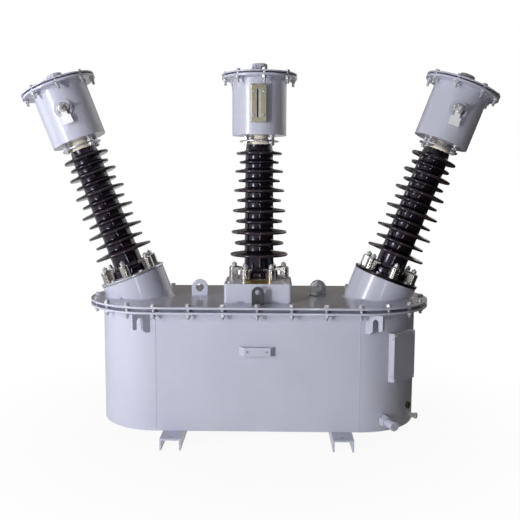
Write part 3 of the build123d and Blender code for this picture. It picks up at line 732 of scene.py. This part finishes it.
def porcelain():
    """The three bushings' porcelain, from the bore over foot, shoulder and sheds to the neck."""
    corners = [(BORE_R, BASE_GASKET, 0.001), (FOOT_R, BASE_GASKET, 0.002)]
    corners += [(FOOT_R, FOOT_TOP, 0.003), (FOOT_SEAT_R, FOOT_SEAT, 0.002)]
    corners += [(SHOULDER_R, FOOT_SEAT, 0.002), (core_r(SHOULDER_TOP), SHOULDER_TOP, 0.004)]
    corners += shed_corners()
    corners += [(NECK_R, PORCELAIN_TOP - 0.006, 0.003), (NECK_R, PORCELAIN_TOP, 0.002)]
    corners += [(BORE_R, PORCELAIN_TOP, 0.001)]
    body = tagged(spun_ring("porcelain", corners, 80, 4), "rim", rim_share)
    body = copies("porcelain_bodies", body, [bushing_frame(side) for side in SIDES])
    belongs(body, "brown_glaze", "porcelain_bushings")


# Fasteners of the tank and heads

def cover_bolt_places():
    """Along both straights and round both ends, each bolt turned further than the one before."""
    pitch = 2 * HALF_STRAIGHT / STRAIGHT_BAYS
    places = []
    for side in (-1, 1):
        for i in range(STRAIGHT_BAYS + 1):
            places.append(moved(-HALF_STRAIGHT + i * pitch, side * BOLT_LINE_R))
        for i in range(1, END_BAYS):
            turn = math.pi * i / END_BAYS
            x = side * (HALF_STRAIGHT + BOLT_LINE_R * math.sin(turn))
            places.append(moved(x, -BOLT_LINE_R * math.cos(turn)))
    swing = 17.0
    return [place @ turned_by(swing * i, "Z") for i, place in enumerate(places)]


def tank_bolts():
    bolt = through_bolt(flats=0.018, head_low=COVER_TOP, head=0.0095, nut_high=RIM_BOTTOM,
                        nut=0.011, tail=0.011)
    bolts = copies("tank_bolts", bolt, cover_bolt_places())
    belongs(bolts, "bright_zinc", "cover_bolts", "cover_nuts")


def at_bushings(places_of, swing=23.0):
    """Places of a pattern on all bushings, each fastener turned further than the one before."""
    places = [bushing_frame(side) @ place for side in SIDES for place in places_of(side)]
    return [place @ turned_by(swing * i, "Z") for i, place in enumerate(places)]


def head_bolts():
    bolt = through_bolt(flats=0.0155, head_low=LID_TOP, head=0.0075, nut_high=CAN_TOP - CAN_RIM,
                        nut=0.009, tail=0.016)
    places = at_bushings(lambda side: around(LID_BOLTS, LID_BOLT_R, LID_TURN[side]))
    belongs(copies("head_bolts", bolt, places), "bright_zinc", "lid_bolts", "lid_nuts")


def clamp_castings():
    """Cast claws with a round nose: a leg on the plate, and an arm on the porcelain's foot."""
    leg = CLAMP_OUTER_R - CLAMP_LEG
    arm = 0.010
    nose = CLAMP_WIDTH * 0.46
    shoulder = 0.006
    side = [(leg, 0), (CLAMP_OUTER_R, 0), (CLAMP_OUTER_R, CLAMP_TOP), (CLAMP_SLOPE_R, CLAMP_TOP)]
    side += [(CLAMP_INNER_R, FOOT_SEAT + arm), (CLAMP_INNER_R, FOOT_SEAT), (leg, FOOT_SEAT)]
    claw = profiled("claw", side, CLAMP_WIDTH)
    pick("EDGE", upright_at(CLAMP_OUTER_R))
    bpy.ops.mesh.bevel(offset=nose, segments=8)
    pick("EDGE", level_at(CLAMP_TOP, CLAMP_SLOPE_R + 0.004))
    bpy.ops.mesh.bevel(offset=shoulder, segments=4)
    softened(claw, 0.0012, 2, 30.0)
    places = at_bushings(lambda side: around(CLAMPS, 0.0, CLAMP_TURN[side]), 0.0)
    belongs(copies("clamp_castings", claw, places), "cast_alloy", "base_clamps")


def clamp_studs():
    """Stud, washer and nut on each porcelain claw."""
    stud_r = 0.0052
    root = 0.004
    reach = 0.017
    washer_r = 0.0108
    flats = 0.0175
    nut = 0.010
    seat = CLAMP_TOP + STUD_WASHER
    parts = [washer(washer_r, CLAMP_TOP, seat), hexagon("nut", flats, seat, seat + nut)]
    parts.append(thread("stud", stud_r, CLAMP_TOP - root, CLAMP_TOP + reach))
    places = at_bushings(lambda side: around(CLAMPS, CLAMP_STUD_R, CLAMP_TURN[side]))
    studs = copies("clamp_studs", joined("stud", *parts), places)
    belongs(studs, "bright_zinc", "clamp_nuts")


def neck_fasteners():
    """Studs from the clamping ring to the can, with a nut under the ring and a nut on it."""
    stud_r = 0.006
    tail = 0.012
    flats = 0.019
    nut = 0.009
    washer_r = 0.0115
    can_washer_r = 0.0105
    can_washer = 0.0025
    seat = RING_TOP + STUD_WASHER
    parts = [disc("stud", stud_r, RING_BOTTOM - tail, CAN_BOTTOM, 0.0, 24)]
    parts.append(flipped(hexagon("under", flats, 0, nut), RING_BOTTOM))
    parts.append(washer(washer_r, RING_TOP, seat))
    parts.append(hexagon("over", flats, seat, seat + nut))
    parts.append(washer(can_washer_r, CAN_BOTTOM - can_washer, CAN_BOTTOM))
    places = at_bushings(lambda side: around(RING_STUDS, RING_STUD_R, 180 / RING_STUDS))
    studs = copies("neck_studs", joined("neck_stud", *parts), places)
    belongs(studs, "bright_zinc", "ring_studs", "ring_nuts")


# Heads

def fluted_caps():
    """Screw caps with a fluted grip and a domed top."""
    flutes = 30
    flute_share = 0.955
    ledge = 0.0035
    slope = 0.011
    crown = 0.004
    grip_top = CAP_TOP - crown
    bpy.ops.mesh.primitive_cylinder_add(vertices=flutes * 2, radius=CAP_R, depth=grip_top - CAP_LOW,
                                        location=(0, 0, (CAP_LOW + grip_top) / 2))
    cap = opened("cap")
    step = TURN / (flutes * 2)
    pick("VERT", lambda v: round(math.atan2(v.co.y, v.co.x) / step) % 2 == 0)
    bpy.ops.transform.resize(value=(flute_share, flute_share, 1.0), center_override=(0, 0, 0))
    pick("FACE", looks_up)
    bpy.ops.mesh.inset(thickness=ledge)
    bpy.ops.transform.translate(value=(0, 0, crown * 0.75))
    bpy.ops.mesh.inset(thickness=slope)
    bpy.ops.transform.translate(value=(0, 0, crown * 0.25))
    softened(cap, 0.0006, 2, 25.0)
    caps = copies("fluted_caps", cap, [bushing_frame(side) for side in SIDES])
    belongs(marked(caps, "painted"), "bright_zinc", "filler_caps")


def turret_bolts():
    """Bolt heads on the turret plates: all round the side ones, in two rows on the middle one."""
    washer_r = 0.0088
    seat = 0.0014
    flats = 0.013
    head_top = 0.0062
    edge = 0.020
    parts = [washer(washer_r, 0, seat), hexagon("head", flats, seat, head_top)]
    front = [moved(x, CENTRE_FRONT + FRONT_BOLT_INSET) for x in (-FRONT_BOLT_X, FRONT_BOLT_X)]
    back = [turned_by(turn, "Z") @ moved(CENTRE_HALF_WIDTH - edge) for turn in (30, 90, 150)]
    between_claws = 180 / CLAMPS

    def places_of(side):
        if side == "centre":
            return front + back
        return around(CLAMPS, PLATE_BOLT_R, CLAMP_TURN[side] + between_claws)

    heads = copies("plate_bolts", joined("plate_bolt", *parts), at_bushings(places_of))
    belongs(heads, "bright_zinc", "turret_bolts")


def weld_ring(name, radius, height, leg, rise, places, steps=96):
    """A fillet weld round a tube where it meets a flat."""
    inner = radius - 0.001
    corners = [(inner, height, 0), (radius + leg, height, 0.0006)]
    corners += [(radius + leg * 0.45, height + rise * 0.6, 0.0012), (inner, height + rise, 0)]
    bead = marked(spun_ring(name, corners, steps), "weld")
    return copies(name, bead, places)


def head_welds():
    """Beads under the can rims and round the filler necks."""
    filler_neck_r = 0.023
    frames = [bushing_frame(side) for side in SIDES]
    under_rim = [place @ moved(z=CAN_TOP - CAN_RIM) @ turned_by(180, "X") for place in frames]
    rim = weld_ring("rim_welds", CAN_R, 0.0, 0.004, 0.004, under_rim)
    neck = weld_ring("filler_welds", filler_neck_r, LID_TOP, 0.0035, 0.0035, frames, 48)
    belongs(joined("head_welds", rim, neck), "grey_enamel")


def turret_welds():
    """Beads at the feet of the leaning turrets, stretched to the oval they meet the cover in."""
    beads = []
    for side in ("left", "right"):
        sign = SIDES.index(side) - 1
        stretch = Matrix.Diagonal((1 / math.cos(LEAN), 1, 1, 1))
        place = moved(sign * TURRET_X, 0, COVER_TOP) @ stretch
        beads.append(weld_ring("turret_weld", TURRET_R, 0.0, 0.005, 0.005, [place]))
    belongs(joined("turret_welds", *beads), "grey_enamel")


def seam(name, length, width, place):
    """A straight bead of weld, flatter than it is wide."""
    flatness = 0.45
    bpy.ops.mesh.primitive_cylinder_add(vertices=16, radius=width / 2, depth=length)
    bead = opened(name)
    bpy.ops.mesh.select_all(action="SELECT")
    bpy.ops.transform.resize(value=(1.0, flatness, 1.0), center_override=(0, 0, 0))
    softened(bead, 0.0004, 2, 40.0)
    return placed(marked(bead, "weld"), place)


def tank_seams():
    """Butt welds where the straight walls meet the rolled ends, and fillets on the cover."""
    wall_bead = 0.004
    turret_bead = 0.007
    lug_bead = 0.009
    height = RIM_BOTTOM - TANK_BOTTOM - wall_bead
    middle = (RIM_BOTTOM + TANK_BOTTOM) / 2
    beads = []
    for x in (-HALF_STRAIGHT, HALF_STRAIGHT):
        for y in (-TANK_R, TANK_R):
            beads.append(seam("wall_seam", height, wall_bead, moved(x, y, middle)))
    front = moved(0, CENTRE_FRONT, COVER_TOP) @ turned_by(90, "Y") @ turned_by(45, "Z")
    beads.append(seam("turret_seam", 2 * CENTRE_HALF_WIDTH - 0.02, turret_bead, front))
    for x in (-LUG_X, LUG_X):
        for side in (-1, 1):
            foot = moved(x, side * LUG_THICK / 2, COVER_TOP)
            foot = foot @ turned_by(90, "Y") @ turned_by(side * -45, "Z")
            beads.append(seam("lug_seam", LUG_WIDTH - 0.004, lug_bead, foot))
    belongs(joined("tank_seams", *beads), "grey_enamel")


def gauge():
    """The oil gauge's frame with broken edges and four domed screws."""
    dressed("oil_gauge_frame", "yellow_zinc", 0.0008)
    screw_x = 0.018
    screw_rise = 0.0435
    head = dome("gauge_screw", 0.0052, 0, 0.0032)
    places = []
    for x in (-screw_x, screw_x):
        for rise in (-screw_rise, screw_rise):
            place = moved(x, GAUGE_FACE, GAUGE_MIDDLE + rise) @ turned_by(90, "X")
            places.append(bushing_frame("centre") @ place)
    belongs(copies("gauge_screws", head, places), "light_steel", "oil_gauge_screws")


def terminals():
    """Stepped bush, washers, two nuts and a threaded stud with a round end at each terminal."""
    places = [terminal_frame(side, 1) for side in SIDES]
    places += [terminal_frame(side, -1) for side in ("left", "right")]
    steps = [(0, 0, 0), (0.0235, 0, 0), (0.0235, 0.003, 0.0012)]
    steps += [(0.0185, 0.008, 0.002), (0.0172, 0.012, 0.0012), (0, 0.012, 0)]
    foot = [(r, PAD_FACE + rise, ease) for r, rise, ease in steps]
    bush = smooth(turned("bush", eased(foot), 48), 40.0)
    belongs(copies("turned_bushes", bush, places), "cast_alloy", "terminal_bushes")
    flats = 0.022
    nut = 0.010
    ply = 0.002
    gap = 0.002
    stud_r = 0.0075
    stud_end = 0.160
    bush_end = PAD_FACE + 0.0135
    inner = bush_end + ply
    outer = inner + nut + gap + ply
    parts = [washer(0.0152, bush_end, inner), hexagon("inner_nut", flats, inner, inner + nut)]
    parts += [washer(0.0135, outer - ply, outer), hexagon("outer_nut", flats, outer, outer + nut)]
    parts.append(thread("stud", stud_r, bush_end - 0.001, stud_end, 0.002, 24))
    fasteners = copies("terminal_fasteners", joined("terminal", *parts), places)
    belongs(fasteners, "bright_zinc", "terminal_nuts", "terminal_studs")


# Fittings on the tank

def box_screws():
    """Domed screws in the terminal box's cover, and the two pins in its hinged side."""
    down = 0.0835
    across = 0.054
    pins_down = (-0.071, 0.068)
    pins_out = 0.240
    axis = out_of_tank(BOX_BEARING, BOX_MIDDLE)
    corners = [(x, y) for x in (-down, down) for y in (-across, across)]
    places = [axis @ moved(x, y, BOX_COVER_TOP) for x, y in corners]
    for x in pins_down:
        places.append(axis @ moved(x, -BOX_HALF_WIDTH, pins_out) @ turned_by(90, "X"))
    head = dome("box_screw", 0.0046, 0, 0.0034)
    belongs(copies("box_cover_screws", head, places), "bright_zinc", "terminal_box_screws")


def earth_terminal():
    """Turned boss with a groove, and a hexagon bolt and washer on its end."""
    boss_r = 0.0095
    groove_r = 0.0078
    root = 0.225
    shoulder = 0.250
    end = 0.2525
    seat = 0.2545
    head_top = 0.2615
    boss = [(0, root, 0), (boss_r, root, 0), (boss_r, shoulder, 0.0006)]
    boss += [(groove_r, 0.2505, 0), (groove_r, end, 0), (0, end, 0)]
    barrel = smooth(turned("boss", eased(boss, 2), 40))
    parts = [barrel, washer(0.0118, end, seat), hexagon("head", 0.0205, seat, head_top)]
    earth = placed(joined("earth_terminal", *parts), out_of_tank(EARTH_BEARING, EARTH_HEIGHT))
    belongs(earth, "bright_zinc", "earth_stud", "earth_nut")


# Camera, light and floor

WHITE = (1, 1, 1, 1)
ROOM_BROWN = (1.0, 0.86, 0.68, 1)
WARM = (1.0, 0.88, 0.74)


def camera():
    """The photograph's view, from its width in pixels and focal length in pixels."""
    photo_width = 520
    focal_pixels = 723.5
    place = (0.0552, -2.8307, 0.9662)
    data = bpy.data.cameras.new("view")
    viewer = bpy.data.objects.new("view", data)
    bpy.context.scene.collection.objects.link(viewer)
    bpy.context.scene.camera = viewer
    data.sensor_width = 36.0
    data.lens = data.sensor_width * focal_pixels / photo_width
    yaw = math.radians(-1.032)
    pitch = math.radians(6.223)
    roll = math.radians(0.196)
    level = math.cos(pitch)
    forward = Vector((math.sin(yaw) * level, math.cos(yaw) * level, -math.sin(pitch)))
    right = Vector((math.cos(yaw), -math.sin(yaw), 0))
    up = right.cross(forward)
    across = right * math.cos(roll) + up * math.sin(roll)
    above = up * math.cos(roll) - right * math.sin(roll)
    axes = Matrix((across, above, -forward)).transposed()
    viewer.matrix_world = moved(*place) @ axes.to_4x4()


def lamp(name, size_x, size_y, power, place, target, mirrored=True, colour=(1.0, 1.0, 1.0)):
    """A soft box aimed at a target; one that isn't mirrored leaves no shine on the pieces."""
    data = bpy.data.lights.new(name, "AREA")
    data.color = colour
    data.shape = "RECTANGLE"
    data.size = size_x
    data.size_y = size_y
    data.energy = power
    light = bpy.data.objects.new(name, data)
    bpy.context.scene.collection.objects.link(light)
    light.visible_glossy = mirrored
    aim = (Vector(target) - Vector(place)).to_track_quat("-Z", "Y")
    light.matrix_world = moved(*place) @ aim.to_matrix().to_4x4()


def lights():
    """Soft boxes mostly on the left, a small hard lamp for the shadows and a warm one behind."""
    centre = (0, 0, 0.75)
    lamp("tall_key", 1.2, 2.0, 21, (-2.72, -2.36, 1.3), centre)
    lamp("key_core", 0.5, 0.9, 21, (-2.65, -2.30, 1.3), centre)
    lamp("hard_key", 0.22, 0.22, 56, (-2.2, -2.85, 0.6), centre, mirrored=False)
    lamp("left_side", 1.4, 2.0, 10, (-3.4, 0.2, 1.4), centre)
    lamp("left_back", 0.5, 0.8, 7, (-2.6, 1.9, 2.5), centre)
    lamp("beside_camera", 0.1, 1.25, 5.5, (0.36, -3.0, 0.72), (0.2, 0, 0.72))
    lamp("front_fill", 3.0, 2.6, 29, (-2.3, -4.1, 2.3), centre, mirrored=False)
    lamp("overhead", 2.4, 1.6, 7, (-0.8, 0.6, 3.6), (0, 0, 0.4))
    lamp("right_back", 2.4, 2.2, 50, (2.3, 3.4, 1.9), centre, mirrored=False, colour=WARM)


def ray(tree, kind):
    """1 for the rays of one kind and 0 for the others."""
    return tree.add("LightPath", output="Is %s Ray" % kind)


def seen(tree):
    """1 for what the camera sees, also through glass."""
    return ray(tree, "Camera").highest(ray(tree, "Transmission"))


def room_tint(strength):
    """The studio's colour: white where it is bright and brown where it is dim."""
    return strength.tree.blend(strength.between(0.1, 0.5), ROOM_BROWN, WHITE)


def world():
    """White to the camera; to reflections a studio, bright above and left, else brown and dim."""
    studio = bpy.data.worlds.new("studio")
    bpy.context.scene.world = studio
    room = Tree(studio, "Background")
    east, north, rise = room.add("TexCoord", output="Generated").parts()
    left = (0.0 - east).between(-0.1, 0.8, 0.0, 0.55)
    above = rise.between(0.25, 0.9, 0.0, 0.6)
    behind = north.between(-0.1, 0.5) * east.between(0.1, 0.45, 0.12, 1.0)
    wall = behind * rise.between(0.0, 0.08)
    light_on_matt = 0.038
    lit = left.highest(above).highest(wall) * ray(room, "Glossy") + light_on_matt
    strength = lit.highest(seen(room))
    room.feed(Color=room_tint(strength), Strength=strength)


def floor():
    """A wide pale floor that fades into the background; the pieces mirror it dark on the right."""
    bpy.ops.mesh.primitive_circle_add(vertices=96, radius=30.0, fill_type="NGON")
    ground = opened("floor")
    only(ground)
    pale = Finish("floor_white", Base_Color=(0.72, 0.72, 0.72, 1), Roughness=0.8)
    place = pale.place()
    east = place.parts()[0]
    reach = pale.add("VectorMath", {"operation": "LENGTH"}, place)
    in_view = seen(pale)
    mirrored = ray(pale, "Glossy") * (1.0 - in_view)
    shown = in_view * reach.between(0.35, 1.5, 0.93, 1.0)
    strength = in_view.highest(east.between(1.0, 0.2, 0.03, 0.6))
    light = pale.add("Emission", Color=room_tint(strength), Strength=strength)
    matt = Field(pale, pale.shader.outputs[0])
    mix = pale.add("MixShader", None, shown.highest(mirrored), matt, light)
    pale.links.new(mix.socket, pale.nodes["Material Output"].inputs["Surface"])
    ground.data.materials.append(pale.material)


# Softly broken edges, in metres, of the pieces that keep their construction shape
BROKEN_EDGES = {
    "tank_body": 0.0015, "tank_rim": 0.0012, "cover_plate": 0.0016, "sling_hooks": 0.0012,
    "left_foot_channel": 0.0015, "right_foot_channel": 0.0015, "cover_lugs": 0.0012,
    "front_lug": 0.001, "plate_bracket": 0.0006, "terminal_box_body": 0.001,
    "terminal_box_cover": 0.0012, "side_turrets": 0.0006, "side_turret_plates": 0.0008,
    "centre_turret": 0.0015, "head_cans": 0.0012, "head_rims": 0.0008, "head_lids": 0.0008,
    "drain_valve_body": 0.0008, "drain_valve_plug": 0.0005, "centre_turret_plate": 0.0005,
    "top_clamp_rings": 0.0006, "top_gaskets": 0.0008, "head_necks": 0.0008, "terminal_tags": 0.0003,
    "tank_gasket": 0.0005, "lid_gaskets": 0.0005, "turret_gaskets": 0.0004, "sampling_plug": 0.0006,
}
# What some of those pieces are marked with: a name, how much, and how far east it starts
MARKS = {
    # The front lug is made dark all over; the east cover lug gets painted shade.
    "front_lug": ("undercoat", 1.0), "cover_lugs": ("undercoat", 0.6, 0.0),
    # The sampling plug is made nearly black all over; the drain plug is painted over.
    "sampling_plug": ("soiled", 0.9), "drain_valve_plug": ("painted", 1.0),
    # The east side plate and the east turret gasket are painted black as shade and a dark
    # reflection.
    # The middle turret plate's ends get a painted reflection of the bright background.
    "centre_turret_plate": ("turret_plate", 1.0), "side_turret_plates": ("blackened", 1.0, 0.0),
    "turret_gaskets": ("blackened", 1.0, 0.2),
}
SLOT_OF = {part["node"]: part["material_slot"] for part in frame["record"]["subparts"]}


def paint_nodes():
    """Every construction node gets its own slot's finish."""
    for name, node in frame["nodes"].items():
        node.data.materials.clear()
        node.data.materials.append(Finish.made[SLOT_OF[name]])


make_finishes()
paint_nodes()
camera()
world()
lights()
floor()
for node_name, edge_width in BROKEN_EDGES.items():
    finished = dressed(node_name, SLOT_OF[node_name], edge_width)
    if node_name in MARKS:
        marked(finished, *MARKS[node_name])
porcelain()
tank_bolts()
head_bolts()
clamp_castings()
clamp_studs()
turret_bolts()
neck_fasteners()
fluted_caps()
head_welds()
turret_welds()
tank_seams()
gauge()
terminals()
earth_terminal()
box_screws()

bpy.context.scene.view_settings.view_transform = "Standard"
